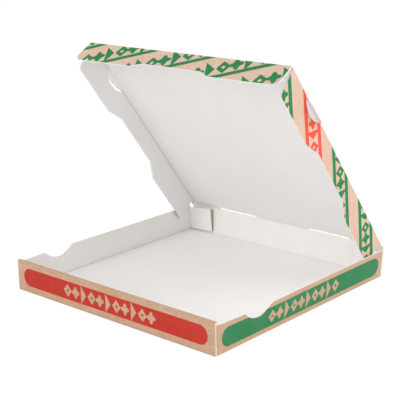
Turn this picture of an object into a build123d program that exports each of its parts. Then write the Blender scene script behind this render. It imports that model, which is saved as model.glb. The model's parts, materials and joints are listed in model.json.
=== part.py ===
"""Folding card box for a flat round food: a shallow tray and its hinged lid, lid half open."""

import os
from math import cos, hypot, radians, sin

from build123d import *

# Sizes in millimetres. X runs along the hinge, -Y is the front, +Z is up.
board = 1.6                # thickness of the corrugated card
fold_radius = 1.2          # radius of a fold at the middle of the card
tray_width = 300.0         # outside, across the bottom folds
tray_depth = 300.0         # outside, across the bottom folds
front_height = 37.0        # top of the rolled front wall
side_height = 33.4         # top of the side walls
side_spread = 3.2          # how far the side walls lean out at their tops
hinge_height = 37.0        # height of the hinge line
hinge_back = 3.5           # how far the hinge line stands behind the tray's bottom
hinge_gap = 0.2            # clearance between the lid's round edge and the rear wall
fit_gap = 0.5              # clearance where card lies beside or above card
lid_angle = 53.0           # opening of the lid, 0 is closed
lid_clearance = 1.2        # play of the lid's side flaps inside the tray
front_play = 3.7           # play of the lid's front flap behind the front wall
front_flap_tilt = 2.0      # degrees that the front flap leans out
flap_height = 32.6         # free edge of the lid's flaps, below the lid's middle plane
flap_tip = 1.2             # how much lower the side flaps reach near the hinge
slit_start = 41.5          # distance of each hinge slit from the middle
slit_end = 102.0
vent_front = 41.0          # vents start and end this far behind the lid's front fold
vent_rear = 84.0
vent_depth = 9.5           # height of the half-moon vents
right_ear_bend = 25.0      # degrees that the right half-moon bends down from the lid
slit_edge = 1.0            # edge of the lid's panel in the slits, ahead of the hinge line

half = board / 2
side_x = tray_width / 2
front_y = -tray_depth / 2
rear_y = tray_depth / 2
axis_y = rear_y + hinge_back
fold_land = fold_radius + half + 1.0   # from an outside face to where its fold's strip begins


def card_strip(points, start, length, across_x):
    """A strip of card that follows a folded line, in the YZ plane or in the XZ plane."""
    line = FilletPolyline(*points, radius=fold_radius)
    section = trace(line, line_width=board)
    if across_x:
        return extrude(Plane.YZ.offset(start) * section, amount=length)
    return extrude(Plane.XZ.offset(-start - length) * section, amount=length)


def straight_card(start, end, low, length):
    """A flat strip of card between two points of the YZ plane, drawn along X."""
    section = trace(Line(start, end), line_width=board)
    return extrude(Plane.YZ.offset(low) * section, amount=length)


# Tray floor
floor_x = side_x - fold_land
floor_y = rear_y - fold_land
tray = Pos(0, 0, half) * Box(2 * floor_x, 2 * floor_y, board)

# Front wall: it goes up, rolls over and comes down again inside
outer_mid = front_y + half
inner_mid = outer_mid + 2 * board
inner_face = inner_mid + half
roll_height = front_height - half
roll_end = roll_height - board - fit_gap
front_line = [
    (front_y + fold_land, half),
    (outer_mid, half),
    (outer_mid, roll_height),
    (inner_mid, roll_height),
    (inner_mid, roll_end),
]
tray += card_strip(front_line, -side_x, tray_width, True)
inner_x = side_x - board - fit_gap
tray += straight_card((inner_mid, roll_end), (inner_mid, board + fit_gap), -inner_x, 2 * inner_x)

# Rear wall: it leans back to the hinge line
wall_foot = rear_y - half
wall_run = axis_y - wall_foot
wall_rise = hinge_height - half
wall_length = hypot(wall_run, wall_rise)
stop = 1 - (half + hinge_gap) / wall_length
rear_line = [
    (rear_y - fold_land, half),
    (wall_foot, half),
    (wall_foot + wall_run * stop, half + wall_rise * stop),
]
rear_half = side_x - 0.4
tray += card_strip(rear_line, -rear_half, 2 * rear_half, True)

# Side walls: straight at the floor, spread and slightly curved at the top
wall_start = front_y + board
wall_end = rear_y - board - fit_gap - 0.3
fold_top = fold_radius + half + 0.4
side_fold = card_strip(
    [(floor_x, half), (side_x - half, half), (side_x - half, fold_top)],
    -floor_y,
    wall_end + floor_y,
    False,
)
foot = Pos(side_x - half, (wall_start + wall_end) / 2) * Rectangle(board, wall_end - wall_start)
top_outer = Spline(
    (side_x + 0.2 * side_spread, wall_start),
    (side_x + side_spread, 0.62 * wall_start),
    (side_x + side_spread, 0.1 * wall_start),
    (side_x + 0.8 * side_spread, wall_end),
)
top_inner = Pos(-board, 0, 0) * top_outer
top_face = make_face(
    [
        top_outer.edge(),
        Line(top_outer @ 1, top_inner @ 1).edge(),
        top_inner.edge(),
        Line(top_inner @ 0, top_outer @ 0).edge(),
    ]
)
side_wall = loft([Pos(0, 0, fold_top) * foot, Pos(0, 0, side_height) * top_face], ruled=True)

# Finger notch in a side wall, a scoop with a sloping rear side
notch_low = side_height - 9.8
notch_line = [
    Line((-107, side_height + 2), (-107, side_height)),
    ThreePointArc((-107, side_height), (-98.6, notch_low + 3.2), (-87, notch_low)),
    ThreePointArc((-87, notch_low), (-79.6, notch_low + 0.5), (-74.4, notch_low + 3.2)),
    Line((-74.4, notch_low + 3.2), (-64.2, side_height - 0.6)),
    ThreePointArc((-64.2, side_height - 0.6), (-63.0, side_height), (-61.6, side_height + 0.2)),
    Line((-61.6, side_height + 0.2), (-61.6, side_height + 2)),
    Line((-61.6, side_height + 2), (-107, side_height + 2)),
]
notch = extrude(Plane.YZ.offset(side_x - 10) * make_face([e.edge() for e in notch_line]), amount=20)
side_wall -= notch

# Corner tabs of a side wall: one inside the rolled front wall, one before the rear wall
front_tab = Pos(side_x - half - 30, wall_start + half, (side_height + board + fit_gap) / 2) * Box(
    60, board, side_height - board - fit_gap - 1
)
tab_length = 38.0
tab_top = hinge_height - half - 0.6
rear_tab_face = make_face(
    Polyline(
        (side_x - half, fold_top),
        (side_x - half + 0.75 * side_spread, side_height - 2.4),
        (side_x - half + 0.75 * side_spread - tab_length, tab_top),
        (side_x - half - tab_length, board + 3.3),
        close=True,
    )
)
rear_tab = extrude(Plane.XZ.offset(-wall_end) * rear_tab_face, amount=board)
side = side_fold + side_wall + front_tab + rear_tab
tray += side
tray += mirror(side, about=Plane.YZ)

# Lid, drawn closed: the panel with a round rear edge on the hinge line
lid_half = side_x - board - lid_clearance
lid_length = axis_y - inner_face - front_play
panel_x = lid_half - fold_land
panel_front = axis_y - lid_length + fold_land
panel_low = (panel_front, hinge_height - half)
panel_top = (panel_front, hinge_height + half)
nose_low = (axis_y, hinge_height - half)
nose_top = (axis_y, hinge_height + half)
panel_line = [
    Line(panel_top, panel_low),
    Line(panel_low, nose_low),
    ThreePointArc(nose_low, (axis_y + half, hinge_height), nose_top),
    Line(nose_top, panel_top),
]
panel_face = make_face([e.edge() for e in panel_line])
lid = extrude(Plane.YZ.offset(-panel_x) * panel_face, amount=2 * panel_x)

# Front flap of the lid, with a shallow recess in its free edge
flap_mid = axis_y - lid_length + half
tilt = radians(front_flap_tilt)
flap_low = hinge_height - flap_height
front_flap = card_strip(
    [
        (panel_front, hinge_height),
        (flap_mid, hinge_height),
        (flap_mid - flap_height * sin(tilt), hinge_height - flap_height * cos(tilt)),
    ],
    -lid_half + 0.4,
    2 * lid_half - 0.8,
    True,
)
flap_corners = front_flap.edges().filter_by(lambda e: e.center().Z < flap_low + 1 and e.length < 3)
front_flap = fillet(flap_corners, 9)
recess = Polyline((-61.3, -2), (-43, 6.5), (43, 6.5), (61.3, -2), close=True)
recess_block = extrude(Plane.XZ * make_face(recess), amount=20, both=True)
front_flap -= Pos(0, flap_mid, flap_low) * recess_block
lid += front_flap

# Side flap of the lid, with a recess in its free edge and a half-moon vent at its fold
fold_rear = axis_y - 3.0
side_bend = card_strip(
    [
        (panel_x, hinge_height),
        (lid_half - half, hinge_height),
        (lid_half - half, hinge_height - fold_radius - half - 0.4),
    ],
    panel_front,
    fold_rear - panel_front,
    False,
)


def flap_point(back, below):
    """A point of a side flap: distance from the hinge line and depth below the lid's plane."""
    return (axis_y - back, hinge_height - below)


root = fold_radius + half
flap_line = Polyline(
    flap_point(3.0, root),
    flap_point(9.2, 5.6),
    flap_point(10.2, flap_height + flap_tip),
    flap_point(89, flap_height + 0.6 * flap_tip),
    flap_point(109, flap_height - 9.5),
    flap_point(187, flap_height - 9.5),
    flap_point(213, flap_height),
    flap_point(lid_length - 10, flap_height),
    flap_point(lid_length - 3.5, root),
    close=True,
)
flap_face = make_face(flap_line)
low_points = flap_face.vertices().filter_by(
    lambda v: v.Y < hinge_height - 15 and v.X < axis_y - 20
)
flap_face = fillet(low_points, 5)
side_flap = extrude(Plane.YZ.offset(lid_half - board) * flap_face, amount=board)
vent_mid = lid_length - (vent_front + vent_rear) / 2
vent_half = (vent_rear - vent_front) / 2
vent_radius = (vent_half**2 + vent_depth**2) / (2 * vent_depth)
vent_cut = Pos(panel_x + 5, axis_y - vent_mid, hinge_height - vent_depth + vent_radius)
vent_cut *= Rot(0, 90, 0) * Cylinder(vent_radius, 10)
flank = side_bend + side_flap - vent_cut
lid += flank
lid += mirror(flank, about=Plane.YZ)

# Half-moon ears stay with the lid's panel: the left one level, the right one bent down
ear_tip = fold_land + vent_depth
ear_round = Pos(panel_x + ear_tip - vent_radius, axis_y - vent_mid, hinge_height)
ear_round *= Cylinder(vent_radius, 8 * board)
turn = radians(right_ear_bend)
bent_strip = card_strip(
    [
        (panel_x - 1, hinge_height),
        (panel_x + 2, hinge_height),
        (panel_x + 2 + 14 * cos(turn), hinge_height - 14 * sin(turn)),
    ],
    axis_y - vent_mid - vent_half,
    2 * vent_half,
    False,
)
lid += bent_strip & ear_round
level_strip = Pos(panel_x + 7, axis_y - vent_mid, hinge_height) * Box(16, 2 * vent_half, board)
lid += mirror(level_strip & ear_round, about=Plane.YZ)

# Two slits cut through the hinge fold
slit_size = (slit_end - slit_start, 3, 3 * board)
slit = Pos((slit_start + slit_end) / 2, axis_y - slit_edge + 1.5, hinge_height) * Box(*slit_size)
lid -= slit
lid -= mirror(slit, about=Plane.YZ)

# Lid turned up about the hinge line
hinge = Axis((0, axis_y, hinge_height), (-1, 0, 0))
lid = lid.rotate(hinge, lid_angle)

os.makedirs("parts", exist_ok=True)
export_step(tray, "parts/tray.step")
export_step(lid, "parts/lid.step")
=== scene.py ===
import json
import math

import bpy
from mathutils import Matrix, Vector

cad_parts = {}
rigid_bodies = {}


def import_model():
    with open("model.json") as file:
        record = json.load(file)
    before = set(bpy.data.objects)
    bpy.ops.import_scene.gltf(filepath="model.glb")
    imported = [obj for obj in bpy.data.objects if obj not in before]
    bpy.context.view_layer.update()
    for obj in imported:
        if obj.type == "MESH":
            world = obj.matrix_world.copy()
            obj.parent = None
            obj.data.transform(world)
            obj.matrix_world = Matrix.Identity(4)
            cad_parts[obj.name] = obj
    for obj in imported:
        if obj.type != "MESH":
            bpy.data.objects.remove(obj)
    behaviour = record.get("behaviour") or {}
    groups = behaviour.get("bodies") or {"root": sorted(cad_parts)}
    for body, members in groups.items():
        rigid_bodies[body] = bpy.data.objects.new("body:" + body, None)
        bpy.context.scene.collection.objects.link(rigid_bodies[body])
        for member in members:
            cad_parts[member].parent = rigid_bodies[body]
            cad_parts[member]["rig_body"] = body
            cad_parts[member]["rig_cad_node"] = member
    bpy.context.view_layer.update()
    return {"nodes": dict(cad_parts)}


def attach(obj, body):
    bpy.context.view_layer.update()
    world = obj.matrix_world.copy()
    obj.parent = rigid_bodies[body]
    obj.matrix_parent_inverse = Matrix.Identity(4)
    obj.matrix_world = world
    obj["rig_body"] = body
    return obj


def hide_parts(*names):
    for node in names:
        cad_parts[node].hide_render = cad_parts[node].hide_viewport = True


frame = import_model()
print("stage 1: frame loaded")

# all places and sizes are in millimetres, unless a note says otherwise
mm = 0.001
halfCard = 0.8

hinge = {
    "y": 153.5,
    "z": 37.0,
    "open": math.radians(53.0),  # how far the lid stands open at rest
}
hingePoint = Vector((0, hinge["y"], hinge["z"])) * mm
toClosed = (
    Matrix.Translation(hingePoint)
    @ Matrix.Rotation(hinge["open"], 4, "X")
    @ Matrix.Translation(-hingePoint)
)
toOpen = toClosed.inverted()


class Field:
    # a value that varies over a surface, used like a number in the shader's maths
    def __init__(self, tree, socket=None):
        self.tree = tree
        self.socket = socket

    def node(self, kind, inputs, output=0, **settings):
        made = self.tree.nodes.new(kind)
        for name, value in settings.items():
            setattr(made, name, value)
        for key, value in inputs.items():
            if isinstance(value, Field):
                self.tree.links.new(value.socket, made.inputs[key])
            else:
                made.inputs[key].default_value = value
        return Field(self.tree, made.outputs[output])

    def maths(self, operation, *others):
        return self.node("ShaderNodeMath", dict(enumerate((self, *others))), operation=operation)

    def __add__(self, other):
        return self.maths("ADD", other)

    def __sub__(self, other):
        return self.maths("SUBTRACT", other)

    def __mul__(self, other):
        return self.maths("MULTIPLY", other)

    def __truediv__(self, other):
        return self.maths("DIVIDE", other)

    def __rsub__(self, other):
        return self * -1.0 + other

    def __neg__(self):
        return self * -1.0

    __radd__ = __add__
    __rmul__ = __mul__

    def size(self):
        return self.maths("ABSOLUTE")

    def least(self, other):
        return self.maths("MINIMUM", other)

    def most(self, other):
        return self.maths("MAXIMUM", other)

    def wrap(self, period):
        return self.maths("FLOORED_MODULO", period)

    def above(self, limit):
        return self.maths("GREATER_THAN", limit)

    def below(self, limit):
        return self.maths("LESS_THAN", limit)

    def inside(self):
        # 1 where a distance is negative and 0 where it is positive, with a soft edge
        soft = 0.25
        ends = {1: -soft, 2: soft, 3: 1.0, 4: 0.0}
        return self.node("ShaderNodeMapRange", {0: self, **ends}, interpolation_type="SMOOTHSTEP")

    def colour(self, low, high):
        # the colour low where the field is 0 and high where it is 1
        pair = [c if isinstance(c, Field) else (*c, 1.0) for c in (low, high)]
        sockets = {0: self, 6: pair[0], 7: pair[1]}
        return self.node("ShaderNodeMix", sockets, output=2, data_type="RGBA", clamp_factor=True)


def linear(*screen):
    # a colour listed as on screen, 0 to 255, as the shader wants it
    shares = [c / 255 for c in screen]
    return tuple(((s + 0.055) / 1.055) ** 2.4 if s > 0.04 else s / 12.92 for s in shares)


def plainMaterial(name):
    material = bpy.data.materials.new(name)
    material.use_nodes = True
    tree = material.node_tree
    return material, tree, tree.nodes["Principled BSDF"]


def cardMaterial(name, turned=False):
    # a material with its Object coordinates in millimetres, for the lid turned back to where it lies closed
    material, tree, shader = plainMaterial(name)
    place = Field(tree).node("ShaderNodeTexCoord", {}, "Object")
    turn = hinge["open"] if turned else 0.0
    shift = (hingePoint - Matrix.Rotation(turn, 3, "X") @ hingePoint) / mm
    moves = {1: tuple(shift), 2: (turn, 0.0, 0.0), 3: (1 / mm,) * 3}
    place = place.node("ShaderNodeMapping", {0: place, **moves})
    split = place.node("ShaderNodeSeparateXYZ", {0: place})
    x, y, z = (Field(tree, split.socket.node.outputs[i]) for i in range(3))
    return material, tree, shader, place, x, y, z


even = (1.0, 1.0, 1.0)
grain = {  # features per millimetre, detail and stretch of each noise
    "cloud": (0.035, 4.0, even),
    "fibre": (0.55, 3.0, (0.35, 2.2, 1.6)),
    "speck": (0.9, 2.0, even),
    "rub": (0.25, 3.0, even),
    "inkPatch": (0.05, 3.0, even),
    "inkEdge": (0.7, 2.0, even),
    "whiteCloud": (0.02, 4.0, even),
    "whiteFibre": (0.8, 3.0, (0.5, 1.6, 1.0)),
    "cut": (1.2, 3.0, even),
    "rough": (0.5, 3.0, even),
    "sag": (0.03, 2.0, even),
}


def noise(place, name):
    # noise about 0
    scale, detail, stretch = grain[name]
    stretched = place.node("ShaderNodeMapping", {0: place, 3: stretch})
    look = {"Scale": scale, "Detail": detail, "Roughness": 0.55}
    return place.node("ShaderNodeTexNoise", {"Vector": stretched, **look}) - 0.5


def finishMaterial(tree, shader, colour, rough, height, depth):
    tree.links.new(colour.socket, shader.inputs["Base Color"])
    tree.links.new(rough.socket, shader.inputs["Roughness"])
    bump = height.node("ShaderNodeBump", {"Height": height, "Strength": 1.0, "Distance": depth * mm})
    tree.links.new(bump.socket, shader.inputs["Normal"])
    shader.inputs["Specular IOR Level"].default_value = 0.25


paper = {
    "tray": {"mid": linear(205, 168, 139), "dark": linear(187, 147, 117), "pale": linear(223, 191, 165)},
    "lid": {"mid": linear(222, 191, 169), "dark": linear(208, 167, 138), "pale": linear(240, 212, 192)},
    "fibre": linear(160, 116, 84),
    "trayWhite": {"pale": linear(249, 248, 246), "shade": linear(243, 240, 237)},
    "lidWhite": {"pale": linear(248, 247, 247), "shade": linear(242, 239, 238)},
    # painted shade: the grey that darkens the white along the inside folds
    "shadedCrease": linear(196, 190, 186),
    "edge": linear(247, 244, 240),
    "edgeShade": linear(214, 204, 192),
    "flute": 3.2,  # distance between the waves in the card
}

ink = {
    "trayRed": linear(210, 60, 44),
    "trayRedDark": linear(186, 46, 36),
    "trayGreen": linear(60, 143, 96),
    "trayGreenDark": linear(38, 122, 72),
    "lidRed": linear(240, 84, 62),
    "lidGreen": linear(36, 142, 84),
    "lidGreenDark": linear(24, 120, 68),
}

foldShadePlaces = {  # place and reach of the painted shade along the folds seen from inside
    "trayWhite": {"side": (147.8, 1.5), "end": (147.6, 1.5), "height": (2.0, 2.0)},
    "lidWhite": {"side": (145.2, 1.3), "end": (-139.6, 1.3), "height": (36.0, 2.0)},
}


def closeness(distance, reach):
    # 1 on a line and 0 at reach from it
    return (1.0 - distance.size() / reach).most(0.0)


def fluteWaves(along):
    return (along * (2 * math.pi / paper["flute"])).maths("SINE")


def paperHeight(place, along):
    # the waves of the card showing through its paper, and the paper's own grain
    return fluteWaves(along) * 0.12 + noise(place, "rough") * 0.5 + noise(place, "sag") * 2.0


def kraftGround(place, shades):
    # brown paper: cloudy tone, short fibres and a few dark specks
    cloud = noise(place, "cloud")
    fibres = noise(place, "fibre")
    tone = (cloud * 0.9 + fibres * 2.0 + 0.5).colour(shades["dark"], shades["pale"])
    tone = (cloud * 0.6 + 0.35).colour(tone, shades["mid"])
    specks = (noise(place, "speck") - 0.17).above(0.0) * 0.4
    return specks, tone, fibres


def inkPatches(place, fibres):
    # where the ink lies darker
    return noise(place, "inkPatch") + fibres * 0.6 + 0.5


def inkEdge(place):
    # how far the edge of the print strays
    return noise(place, "inkEdge") * 0.5


def rubbed(place, tone, where, amount, pale):
    # the tone with its paper rubbed pale in patches
    return (where * (noise(place, "rub") * 1.6 + amount)).colour(tone, pale)


def finishKraft(tree, shader, place, x, tone, fibres):
    finishMaterial(tree, shader, tone, fibres * 0.2 + 0.6, paperHeight(place, x) + fibres * 0.6, 0.06)


# where painted shade lies along the inside folds, 1 on a fold and 0 away from it
def foldShadeLines(x, y, z, fold):
    (side, sideReach), (end, endReach), (height, reach) = fold["side"], fold["end"], fold["height"]
    level = closeness(z - height, reach)
    return (closeness(x.size() - side, sideReach) * level).most(closeness(y - end, endReach) * level)


def whiteMaterial(name, turned=False):
    material, tree, shader, place, x, y, z = cardMaterial(name, turned)
    cloud = noise(place, "whiteCloud")
    fibres = noise(place, "whiteFibre")
    tone = (cloud * 0.9 + fibres * 0.5 + 0.4).colour(paper[name]["pale"], paper[name]["shade"])
    shadedCrease = foldShadeLines(x, y, z, foldShadePlaces[name])
    # painted shade along the inside folds; the same lines are also pressed in a little below
    tone = (shadedCrease * 0.45).colour(tone, paper["shadedCrease"])
    height = paperHeight(place, x) - shadedCrease * 3.0
    finishMaterial(tree, shader, tone, cloud * 0.1 + 0.62, height, 0.05)
    return material


def edgeMaterial(name, turned=False):
    # a cut edge: two white papers with the waves of the card between them
    material, tree, shader, place, x, y, z = cardMaterial(name, turned)
    waves = fluteWaves(x + z)
    cut = noise(place, "cut")
    tone = (waves * 0.22 + cut * 0.6 + 0.22).colour(paper["edge"], paper["edgeShade"])
    finishMaterial(tree, shader, tone, cut * 0.1 + 0.8, waves * 0.5 + cut, 0.12)
    return material


ornamentForm = {
    "lozengeNarrow": 1.15,
    "lozengeHole": 0.3,
    "lozengeSoft": 0.7,
    "leafWide": (1.4, 6.0),
    "leafTall": (7.0, 1.15),
    "leafSoft": 0.45,
    "triangleSlope": (0.8, 0.6),
    "triangleTip": 0.42,
    "triangleBack": 0.55,
}


def ornament(along, across, pitch, half):
    # a row of hollow lozenges, four-leaved flowers and triangles, as a distance
    form = ornamentForm
    step = along.wrap(pitch * 3)
    corner = (step - pitch * 0.5).size() * form["lozengeNarrow"] + across.size()
    lozenge = (corner - half).most(half * form["lozengeHole"] - corner) * form["lozengeSoft"]
    aside = (step - pitch * 1.5) / half
    above = across / half
    leaves = (form["leafWide"], form["leafTall"])
    wide, tall = (aside * aside * narrow + above * above * low for narrow, low in leaves)
    flower = (wide.least(tall).maths("SQRT") - 1.0) * (half * form["leafSoft"])
    past = step - pitch * 2.5
    slopeAlong, slopeAcross = form["triangleSlope"]
    triangle = past * slopeAlong + across.size() * slopeAcross - half * form["triangleTip"]
    triangle = triangle.most(half * -form["triangleBack"] - past)
    return lozenge.least(flower).least(triangle)


trayPrint = {
    "front": {
        "middle": 0.0,
        "height": 19.25,
        "halfLong": 140.0,
        "halfHigh": 10.75,
        "row": (-72.0, 69.0),  # where the shapes start and end
    },
    "side": {
        "middle": -0.25,
        "height": 17.0,
        "halfLong": 140.75,
        "halfHigh": 11.0,
        "row": (-68.0, 61.0),
    },
    "shapePitch": 12.8,
    "shapeHalf": 7.4,
    "frontFace": -149.0,  # the front's print lies ahead of this, and within frontHalf
    "frontHalf": 149.9,
    "sideFace": 148.9,  # the sides' print lies outside this, and behind sideFront
    "sideFront": -148.9,
}
trayFoldShadeAndWear = {
    # the first three set painted shade along the roll and the foot fold; the rubs after them are wear
    "rollCreaseShade": (36.4, 4.0),  # height and reach
    "footCreaseShade": (0.8, 2.6),
    "creaseShadeFront": -144.0,
    "footRub": (0.2, 1.6),
    "cornerRub": (150.0, 1.3),
    "rubAmount": 0.45,
}


def panelDistance(along, up, panel):
    # distance to a long panel with round ends
    past = ((along - panel["middle"]).size() - (panel["halfLong"] - panel["halfHigh"])).most(0.0)
    level = up - panel["height"]
    return (past * past + level * level).maths("SQRT") - panel["halfHigh"]


def rowDistance(along, up, panel):
    start, end = panel["row"]
    shapes = ornament(along - start, up - panel["height"], trayPrint["shapePitch"], trayPrint["shapeHalf"])
    ends = (along - (start + end) / 2).size() - (end - start) / 2
    return shapes.most(ends)


def printedPanel(along, up, panel):
    # a panel of ink with its row of shapes left blank
    return panelDistance(along, up, panel).most(-rowDistance(along, up, panel))


def trayKraft():
    material, tree, shader, place, x, y, z = cardMaterial("trayKraft")
    specks, tone, fibres = kraftGround(place, paper["tray"])
    stray = inkEdge(place)
    patches = inkPatches(place, fibres)
    onFront = y.below(trayPrint["frontFace"]) * x.size().below(trayPrint["frontHalf"])
    onSide = x.size().above(trayPrint["sideFace"]) * y.above(trayPrint["sideFront"])
    red = patches.colour(ink["trayRed"], ink["trayRedDark"])
    green = patches.colour(ink["trayGreen"], ink["trayGreenDark"])
    tone = ((printedPanel(x, z, trayPrint["front"]) + stray).inside() * onFront).colour(tone, red)
    tone = ((printedPanel(y, z, trayPrint["side"]) + stray).inside() * onSide).colour(tone, green)
    tone = specks.colour(tone, paper["fibre"])

    # painted shade: the front's kraft darker along the roll and the foot fold, in stripes that follow the
    # flutes
    lines = (trayFoldShadeAndWear["rollCreaseShade"], trayFoldShadeAndWear["footCreaseShade"])
    roll, foot = (closeness(z - height, reach) for height, reach in lines)
    paintedFoldShade = roll.most(foot) * y.below(trayFoldShadeAndWear["creaseShadeFront"])
    tone = (paintedFoldShade * (fluteWaves(x) * 0.35 + 0.3)).colour(tone, paper["tray"]["dark"])
    footHeight, footReach = trayFoldShadeAndWear["footRub"]
    corner, cornerReach = trayFoldShadeAndWear["cornerRub"]
    rub = closeness(x.size() - corner, cornerReach) * closeness(y + corner, cornerReach)
    rub = closeness(z - footHeight, footReach).most(rub)
    tone = rubbed(place, tone, rub, trayFoldShadeAndWear["rubAmount"], paper["tray"]["pale"])
    finishKraft(tree, shader, place, x, tone, fibres)
    return material


lidPrint = {
    "fold": -141.5,  # the front fold, with the lid closed
    "frontFlap": -139.6,  # the front flap's print lies ahead of this
    "sideFlap": 144.0,  # the side flaps' print lies outside this
    "slope": 1.95,  # how far a bar runs along the front fold for each millimetre across it
    "firstBar": -121.6,
    "pitch": 82.4,
    "barHalf": 2.9,
    "rowMiddle": 13.6,  # distance of the shapes from the bar before them
    "shapePitch": 15.0,
    "shapeHalf": 10.2,
    "colourChange": 9.0,  # how far before a bar its colour starts
    "redBefore": -1.5,  # every second row before this one is red
    "sideSlope": 1.55,
    "sideFirst": 43.4,
    "sidePair": 41.2,
    "sidePitch": 88.0,
    "sideBarHalf": 3.0,
    "sideShapePitch": 13.4,
    "sideShapeHalf": 8.4,
    "sideRed": (240.0, 44.0),  # middle of the red rows behind the hinge line, and half their length
}
lidWear = {
    "side": 147.0,
    "front": -141.3,
    "height": 37.6,
    "reach": 1.6,
    "rubAmount": 0.5,
}


def mainPattern(across, beyond):
    # bars with shapes between them, and whether they are red
    p = lidPrint
    row = across + beyond * p["slope"] - p["firstBar"]
    lean = math.atan(1 / p["slope"])
    pitch = p["pitch"] * math.sin(lean)
    toBar = (row * -math.sin(lean)).wrap(pitch)
    along = across * math.cos(lean) - beyond * math.sin(lean)
    bars = toBar.least(pitch - toBar) - p["barHalf"]
    shapes = ornament(along, toBar - p["rowMiddle"], p["shapePitch"], p["shapeHalf"])
    rowNumber = ((row - p["colourChange"]) / p["pitch"]).maths("FLOOR")
    isRed = rowNumber.wrap(2.0).above(0.5) * rowNumber.below(p["redBefore"])
    return bars.least(shapes), isRed


def rightPattern(back, depth):
    # the right flap has its own rows between pairs of bars
    p = lidPrint
    row = back + depth * p["sideSlope"] - p["sideFirst"]
    lean = math.atan(1 / p["sideSlope"])
    inPair = (row.wrap(p["sidePitch"]) - p["sidePair"] / 2) * math.sin(lean)
    outer = p["sidePair"] / 2 * math.sin(lean)
    wide = p["sidePitch"] * math.sin(lean)
    bars = (inPair.size() - outer).size().least((inPair + outer - wide).size()) - p["sideBarHalf"]
    along = depth * math.sin(lean) - back * math.cos(lean)
    shapes = ornament(along, inPair, p["sideShapePitch"], p["sideShapeHalf"])
    redMiddle, redHalf = p["sideRed"]
    isRed = (row - (redMiddle - p["sideFirst"])).size().below(redHalf)
    return bars.least(shapes), isRed


def lidKraft():
    material, tree, shader, place, x, y, z = cardMaterial("lidKraft", True)
    specks, tone, fibres = kraftGround(place, paper["lid"])
    depth = (hinge["z"] + halfCard - z).most(0.0)  # how far down a flap
    onFront = y.below(lidPrint["frontFlap"])
    onRight = x.above(lidPrint["sideFlap"]) * (1.0 - onFront)
    onLeft = x.below(-lidPrint["sideFlap"]) * (1.0 - onFront)

    # the pattern of the front flap runs on over the lid and the left flap
    beyond = depth * onFront - (y - lidPrint["fold"]).most(0.0)
    main, mainRed = mainPattern(x - depth * onLeft, beyond)
    right, rightRed = rightPattern(hinge["y"] - y, depth)
    pattern = (main * (1.0 - onRight) + right * onRight + inkEdge(place)).inside()
    isRed = mainRed * (1.0 - onRight) + rightRed * onRight
    green = inkPatches(place, fibres).colour(ink["lidGreen"], ink["lidGreenDark"])
    tone = pattern.colour(tone, isRed.colour(green, ink["lidRed"]))
    tone = specks.colour(tone, paper["fibre"])

    level = closeness(z - lidWear["height"], lidWear["reach"])
    rub = closeness(x.size() - lidWear["side"], lidWear["reach"]) * level
    rub = rub.most(closeness(y - lidWear["front"], lidWear["reach"]) * level)
    tone = rubbed(place, tone, rub, lidWear["rubAmount"], paper["lid"]["pale"])
    finishKraft(tree, shader, place, x, tone, fibres)
    return material


materials = {
    "trayKraft": trayKraft(),
    "trayWhite": whiteMaterial("trayWhite"),
    "trayEdge": edgeMaterial("trayEdge"),
    "lidKraft": lidKraft(),
    "lidWhite": whiteMaterial("lidWhite", True),
    "lidEdge": edgeMaterial("lidEdge", True),
}
print("stage 2: materials made")

tolerance = {"merge": 0.00001, "shrink": 0.00002, "cut": 0.000002}  # in metres
smoothing = {"angle": 32, "evenWeight": 60}
cutPlaces = range(-135, 136, 15)
still = Matrix.Identity(4)


def copyCard(nodeName, pieceName):
    # the CAD sheet as one clean mesh, ready to be finished
    bpy.ops.object.select_all(action="DESELECT")
    source = frame["nodes"][nodeName]
    source.select_set(True)
    bpy.context.view_layer.objects.active = source
    bpy.ops.object.duplicate()
    piece = bpy.context.view_layer.objects.active
    bpy.ops.object.parent_clear(type="CLEAR_KEEP_TRANSFORM")
    piece.name = pieceName
    piece.data.name = pieceName
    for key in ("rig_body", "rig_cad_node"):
        del piece[key]
    bpy.ops.object.mode_set(mode="EDIT")
    bpy.ops.mesh.select_all(action="SELECT")
    bpy.ops.mesh.remove_doubles(threshold=tolerance["merge"])
    bpy.ops.mesh.dissolve_degenerate(threshold=tolerance["shrink"])
    bpy.ops.object.mode_set(mode="OBJECT")
    return piece


def cutAcross(piece, turn, normal, places):
    # cuts the sheet on parallel planes, so that it can be waved
    bpy.ops.object.mode_set(mode="EDIT")
    for place in places:
        bpy.ops.mesh.select_all(action="SELECT")
        point = turn @ (Vector(normal) * place * mm)
        way = turn.to_3x3() @ Vector(normal)
        bpy.ops.mesh.bisect(plane_co=point, plane_no=way, use_fill=False, threshold=tolerance["cut"])
    bpy.ops.object.mode_set(mode="OBJECT")


def giveFaces(piece, rule, turn, names):
    # printed paper on one side, white on the other, and the cut edges
    for name in names:
        piece.data.materials.append(materials[name])
    while len(piece.data.materials) > len(names):
        piece.data.materials.pop(index=0)
    spin = turn.to_3x3()
    cutBelow = 0.45  # a face that looks less than this either way is a cut edge
    for face in piece.data.polygons:
        centre = (turn @ face.center) / mm
        side = rule(centre, (spin @ face.normal).normalized())
        face.material_index = 0 if side > cutBelow else 1 if side < -cutBelow else 2


def wave(piece, turn, rule):
    # moves the points a little, alike on both sides of the card
    back = turn.inverted()
    for point in piece.data.vertices:
        place = (turn @ point.co) / mm
        point.co = back @ ((place + Vector(rule(*place))) * mm)


def finishCard(piece):
    bpy.ops.object.select_all(action="DESELECT")
    piece.select_set(True)
    bpy.context.view_layer.objects.active = piece
    bpy.ops.object.shade_smooth_by_angle(angle=math.radians(smoothing["angle"]))
    bpy.ops.object.modifier_add(type="WEIGHTED_NORMAL")
    evener = piece.modifiers[-1]
    evener.keep_sharp = True
    evener.weight = smoothing["evenWeight"]
    bpy.ops.object.modifier_apply(modifier=evener.name)


def foldWay(x=0.0, y=0.0, up=1.0):
    # the way that the printed side looks at a fold, between the two panels
    return Vector((0.75 * x, 0.75 * y, 0.66 * up))


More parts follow.
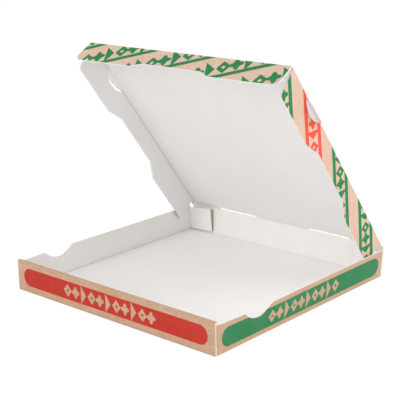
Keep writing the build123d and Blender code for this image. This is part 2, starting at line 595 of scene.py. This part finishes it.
trayForm = {
    "side": {"from": 147.9, "front": -148.42, "rear": 147.7, "low": 2.0, "top": 33.7},
    "front": {"from": -144.9, "half": 150.05, "low": 2.0},
    "roll": {"low": 34.1, "middle": (-147.6, 34.4)},
    "innerPanel": {"half": 148.0, "front": -146.9},
    "outerPanel": -148.3,
    "rearTab": {"from": 111, "end": 114.0, "front": 145.9, "rear": 147.7, "low": 2.3},
    "rearWall": 147.2,
    "footCut": 2.5,  # extra cuts, above the floor and behind the outer panel
    "frontCut": -148.4,
    "facing": 0.7,  # past this share of its normal, a face looks one way
}


def frontWallFace(x, y, z, normal):
    form, facing = trayForm, trayForm["facing"]
    if z > form["roll"]["low"]:
        middleY, middleZ = form["roll"]["middle"]
        away = Vector((0, y - middleY, z - middleZ)).normalized()
        return normal.dot(away) if abs(normal.x) < facing else 0.0
    if abs(x) < form["innerPanel"]["half"] and y > form["innerPanel"]["front"]:
        return 1.0 if normal.y > facing else (0.0 if abs(normal.y) < facing else -1.0)
    if y < form["outerPanel"]:
        return -normal.y
    return -1.0 if abs(normal.y) > facing else 0.0


def trayFace(centre, normal):
    # 1 where a face is the printed side, -1 where it is the white side, and near 0 where the card is cut
    x, y, z = centre
    side, front, tab = trayForm["side"], trayForm["front"], trayForm["rearTab"]
    facesAside = abs(normal.x) > trayForm["facing"]
    onSide = abs(x) > side["from"] and side["front"] < y < side["rear"] and side["low"] < z < side["top"]
    if onSide and facesAside:
        return normal.x if x > 0 else -normal.x
    if y < front["from"] and abs(x) < front["half"] and z > front["low"]:
        return frontWallFace(x, y, z, normal)
    if y < front["from"]:
        return normal.dot(foldWay(y=-1.0, up=-1.0))
    if abs(x) > side["from"] and y < side["rear"]:
        return normal.dot(foldWay(x=math.copysign(1.0, x), up=-1.0))
    if tab["front"] < y < tab["rear"] and abs(x) > tab["from"] and z > tab["low"]:
        return 1.0 if abs(x) < tab["end"] and facesAside else normal.y
    if y > trayForm["rearWall"]:
        return normal.dot(foldWay(y=1.0, up=-1.0))
    return -normal.z


trayWave = {
    "wall": 0.3,  # how far the side walls sway
    "wallLength": 29.0,
    "wallPhase": 0.4,
    "wallFoot": 4.0,
    "wallHigh": 30.0,
    "wallHalf": 147.0,
    "floor": 0.25,  # half of how far the floor lifts
    "floorTop": 2.0,
    "floorHalf": (146.0, 144.0),
    "floorLengths": (43.0, 57.0),
}


def trayRipple(x, y, z):
    w = trayWave
    if z < w["floorTop"]:
        halfX, halfY = w["floorHalf"]
        lengthX, lengthY = w["floorLengths"]
        inwards = max(0.0, 1 - (x / halfX) ** 2) * max(0.0, 1 - (y / halfY) ** 2)
        return 0.0, 0.0, w["floor"] * inwards * (1.0 + math.sin(x / lengthX + y / lengthY))
    if abs(x) > trayForm["side"]["from"] and abs(y) < w["wallHalf"]:
        share = max(0.0, z - w["wallFoot"]) / w["wallHigh"] * max(0.0, 1 - (y / w["wallHalf"]) ** 4)
        return w["wall"] * share * math.sin(y / w["wallLength"] + w["wallPhase"] * x), 0.0, 0.0
    return 0.0, 0.0, 0.0


tray = copyCard("tray", "trayBoard")
cutAcross(tray, still, (1, 0, 0), cutPlaces)
cutAcross(tray, still, (0, 1, 0), (trayForm["frontCut"], *cutPlaces))
cutAcross(tray, still, (0, 0, 1), (trayForm["footCut"], trayForm["roll"]["low"]))
giveFaces(tray, trayFace, still, ("trayKraft", "trayWhite", "trayEdge"))
wave(tray, still, trayRipple)
finishCard(tray)
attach(tray, "tray")
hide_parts("tray")
print("stage 3: tray made", len(tray.data.polygons))

# the lid's places are those of the closed lid
lidForm = {
    "frontFlap": -138.4,  # the front flap lies ahead of this
    "sideFold": 144.1,  # the side flaps and their folds lie outside this
    "sideFlap": (145.4, 147.4),
    "rearCorner": (143.4, 141.5),  # the side flaps' rear ends lie outside and behind this
    "nose": 153.4,  # the round edge on the hinge line lies behind this
    "rearCut": 148.5,  # an extra cut ahead of the hinge line
    "slit": {"from": 41.4, "to": 102.1, "front": 152.3, "rear": 152.7},
    "ears": {"from": 144.3, "front": -101.2, "rear": -56.8, "low": 35.0},
    "rightEar": {"from": 145.2, "past": 147.2, "front": -100.4, "rear": -57.6, "low": 34.0},
}


def lidFace(centre, normal):
    # 1 where a face is the printed side, -1 where it is the white side, and near 0 where the card is cut
    x, y, z = centre
    ears = lidForm["ears"]
    onEar = z > ears["low"] and abs(x) > ears["from"] and ears["front"] < y < ears["rear"]
    if abs(x) > lidForm["sideFlap"][1] or onEar:
        return normal.z
    if y < lidForm["frontFlap"]:
        return normal.dot(foldWay(y=-1.0))
    if abs(x) > lidForm["sideFold"]:
        return normal.dot(foldWay(x=math.copysign(1.0, x)))
    if y > lidForm["nose"]:
        return -1.0 if normal.z < -0.5 else 1.0
    return normal.z


lidWave = {
    "bulge": 0.7,  # how far the panel's waves lift
    "bulgeHalf": (144.0, 146.0),
    "bulgeMiddle": 6,
    "bulgeLengths": (61.0, 47.0, 90.0),
    "bulgePhase": 0.7,
    "bulgeSecond": 0.6,
    "flap": 0.3,  # how far the flaps' free edges sway
    "flapTop": 36.0,
    "flapHigh": 33.0,
    "frontLength": 37.0,
    "sideLength": 31.0,
    "sideSplay": 2.0,  # degrees that the side flaps stand out
    "sideFree": 60.0,  # over this distance from the rear corners, the splay and the sway grow to all they are
    "frontSplay": 4.0,  # degrees more than in the CAD sheet
    "frontShort": 0.05,  # share taken off the front flap's height
    "frontFlare": 1.2,  # how far the front flap's free corners stand out
    "frontHalf": 147.0,
    "earBend": 8.0,  # degrees more for the right half-moon
    "earRamp": (-66.0, 10.0),  # where the bend starts, and over what distance it grows
    "slitWider": 1.2,
    "rearCorners": (  # of a side flap, behind and below the hinge line: where they are and where they go
        ((3.7, 2.4), (1.3, 2.5)),
        ((5.0, 3.2), (1.6, 5.0)),
        ((9.2, 5.6), (7.9, 4.9)),
        ((10.2, 33.8), (8.2, 33.8)),
    ),
    "cornerReach": (0.4, 0.6),
    "rearEnd": (3.0, 1.2),
    "endReach": 0.2,
}


def rearShift(y, z):
    # brings the rear edge of a side flap close to the hinge, above the tray's tabs
    back, below = hinge["y"] - y, hinge["z"] - z
    reachBack, reachBelow = lidWave["cornerReach"]
    for place, goal in lidWave["rearCorners"]:
        if abs(back - place[0]) < reachBack and abs(below - place[1]) < reachBelow:
            return 0.0, back - goal[0], below - goal[1]
    now, goal = lidWave["rearEnd"]
    return 0.0, (back - goal if abs(back - now) < lidWave["endReach"] else 0.0), 0.0


def frontFlapShift(x, drop, sway):
    w = lidWave
    turn = math.radians(w["frontSplay"])
    shift = -drop * math.sin(turn) + sway * math.sin(x / w["frontLength"])
    flare = w["frontFlare"] * drop / w["flapHigh"] * (x / w["frontHalf"]) ** 5
    return flare, shift, drop * (1 - math.cos(turn) + w["frontShort"])


def rightEarShift(x, y, z):
    # bends the right half-moon further down, but not its rear end, which stands over the tray's wall
    start, length = lidWave["earRamp"]
    turn = math.radians(lidWave["earBend"]) * min(1.0, max(0.0, start - y) / length)
    out, low = x - lidForm["rightEar"]["from"], hinge["z"] - z
    return (
        out * math.cos(turn) - low * math.sin(turn) - out,
        0.0,
        low - out * math.sin(turn) - low * math.cos(turn),
    )


def sideFlapShift(x, y, drop, sway):
    free = max(0.0, min(1.0, (lidForm["rearCorner"][1] - y) / lidWave["sideFree"]))
    out = drop * math.sin(math.radians(lidWave["sideSplay"])) * free
    return math.copysign(out, x) + sway * free * math.sin(y / lidWave["sideLength"] + x), 0.0, 0.0


def panelShift(x, y):
    w = lidWave
    halfX, halfY = w["bulgeHalf"]
    lengthX, lengthY, lengthSkew = w["bulgeLengths"]
    inwards = max(0.0, 1 - (x / halfX) ** 2) * max(0.0, 1 - ((y - w["bulgeMiddle"]) / halfY) ** 2)
    first = math.sin(x / lengthX + w["bulgePhase"])
    second = w["bulgeSecond"] * math.sin(y / lengthY - x / lengthSkew)
    return 0.0, 0.0, w["bulge"] * inwards * (first + second)


def lidRipple(x, y, z):
    drop = max(0.0, lidWave["flapTop"] - z)
    sway = lidWave["flap"] * drop / lidWave["flapHigh"]
    if y < lidForm["frontFlap"]:
        return frontFlapShift(x, drop, sway)
    cornerX, cornerY = lidForm["rearCorner"]
    if abs(x) > cornerX and y > cornerY:
        return rearShift(y, z)
    slit = lidForm["slit"]
    if slit["from"] < abs(x) < slit["to"] and slit["front"] < y < slit["rear"]:
        return 0.0, -lidWave["slitWider"], 0.0
    ear = lidForm["rightEar"]
    if x > ear["past"] or (x > ear["from"] and z > ear["low"] and ear["front"] < y < ear["rear"]):
        return rightEarShift(x, y, z)
    inner, outer = lidForm["sideFlap"]
    if inner < abs(x) < outer:
        return sideFlapShift(x, y, drop, sway)
    return panelShift(x, y)


lid = copyCard("lid", "lidBoard")
cutAcross(lid, toOpen, (1, 0, 0), cutPlaces)
cutAcross(lid, toOpen, (0, 1, 0), (*cutPlaces, lidForm["rearCut"]))
giveFaces(lid, lidFace, toClosed, ("lidKraft", "lidWhite", "lidEdge"))
wave(lid, toClosed, lidRipple)
finishCard(lid)
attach(lid, "lid")
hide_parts("lid")
print("stage 4: lid made", len(lid.data.polygons))

studio = {  # places and sizes in metres
    "ambient": 0.65,
    "key": {"from": (1.4, 1.1, 1.1), "size": 2.0, "watts": 24.0},
    "fill": {"from": (-0.45, -2.0, 1.35), "size": 1.6, "watts": 19.0},
    "aim": (0, 0, 0.05),
    "floorSize": 8.0,
    "floorDrop": 0.0004,  # how far the floor lies under the tray
    "floorPale": linear(243, 242, 241),
    "floorRough": 0.9,
    "floorShare": 0.85,  # how much of its glow the camera sees, against its shadows
    "floorGlow": 1.08,
}


def addLamp(name, settings):
    bpy.ops.object.light_add(type="AREA", location=settings["from"])
    lamp = bpy.context.object
    lamp.name = name
    lamp.data.energy = settings["watts"]
    lamp.data.size = settings["size"]
    lamp.rotation_euler = (Vector(studio["aim"]) - lamp.location).to_track_quat("-Z", "Y").to_euler()


def seenByCamera(tree):
    # 1 for what the camera sees directly and 0 for light on its way between things
    return Field(tree).node("ShaderNodeLightPath", {}, "Is Camera Ray")


addLamp("keyLamp", studio["key"])
addLamp("fillLamp", studio["fill"])

world = bpy.data.worlds.new("studioLight")
bpy.context.scene.world = world
world.use_nodes = True
worldTree = world.node_tree
sky = worldTree.nodes["Background"]
sky.inputs["Color"].default_value = (1, 1, 1, 1)
strength = seenByCamera(worldTree) * (1.0 - studio["ambient"]) + studio["ambient"]
worldTree.links.new(strength.socket, sky.inputs["Strength"])

bpy.ops.mesh.primitive_plane_add(size=studio["floorSize"], location=(0, 0, -studio["floorDrop"]))
floor = bpy.context.object
floor.name = "floor"
floorMaterial, floorTree, floorShader = plainMaterial("floorPaper")
floorShader.inputs["Roughness"].default_value = studio["floorRough"]
floorShader.inputs["Specular IOR Level"].default_value = 0.0
floorShader.inputs["Base Color"].default_value = (*studio["floorPale"], 1.0)
glow = Field(floorTree).node("ShaderNodeEmission", {"Strength": studio["floorGlow"]})
share = seenByCamera(floorTree) * studio["floorShare"]
lit = Field(floorTree, floorShader.outputs[0])
blend = glow.node("ShaderNodeMixShader", {0: share, 1: lit, 2: glow})
floorTree.links.new(blend.socket, floorTree.nodes["Material Output"].inputs["Surface"])
floor.data.materials.append(floorMaterial)
print("stage 5: floor and lamps made")

cameraView = {
    "azimuth": 41.76,
    "elevation": 16.06,
    "roll": -0.94,
    "distance": 1.4463,  # in metres, as the target is
    "target": (-0.11897, 0.13189, 0.05),
    "focal": 1101.5,  # in pixels of the photograph
    "pixels": 400.0,  # width of the photograph
    "sensor": 36.0,
    "clip": (0.05, 50.0),
}


def addCamera(view):
    azimuth, elevation, roll = (math.radians(view[k]) for k in ("azimuth", "elevation", "roll"))
    level = math.cos(elevation)
    back = Vector((math.sin(azimuth) * level, -math.cos(azimuth) * level, math.sin(elevation)))
    right = Vector((math.cos(azimuth), math.sin(azimuth), 0.0))
    up = back.cross(right)
    side = right * math.cos(roll) + up * math.sin(roll)
    top = up * math.cos(roll) - right * math.sin(roll)
    bpy.ops.object.camera_add()
    camera = bpy.context.object
    camera.name = "photoView"
    turn = Matrix((side, top, back)).transposed().to_4x4()
    turn.translation = Vector(view["target"]) + back * view["distance"]
    camera.matrix_world = turn
    camera.data.sensor_width = view["sensor"]
    camera.data.lens = view["focal"] / view["pixels"] * view["sensor"]
    camera.data.clip_start, camera.data.clip_end = view["clip"]
    return camera


bpy.context.scene.camera = addCamera(cameraView)
bpy.context.scene.view_settings.view_transform = "Standard"

print("stage 6: camera made")
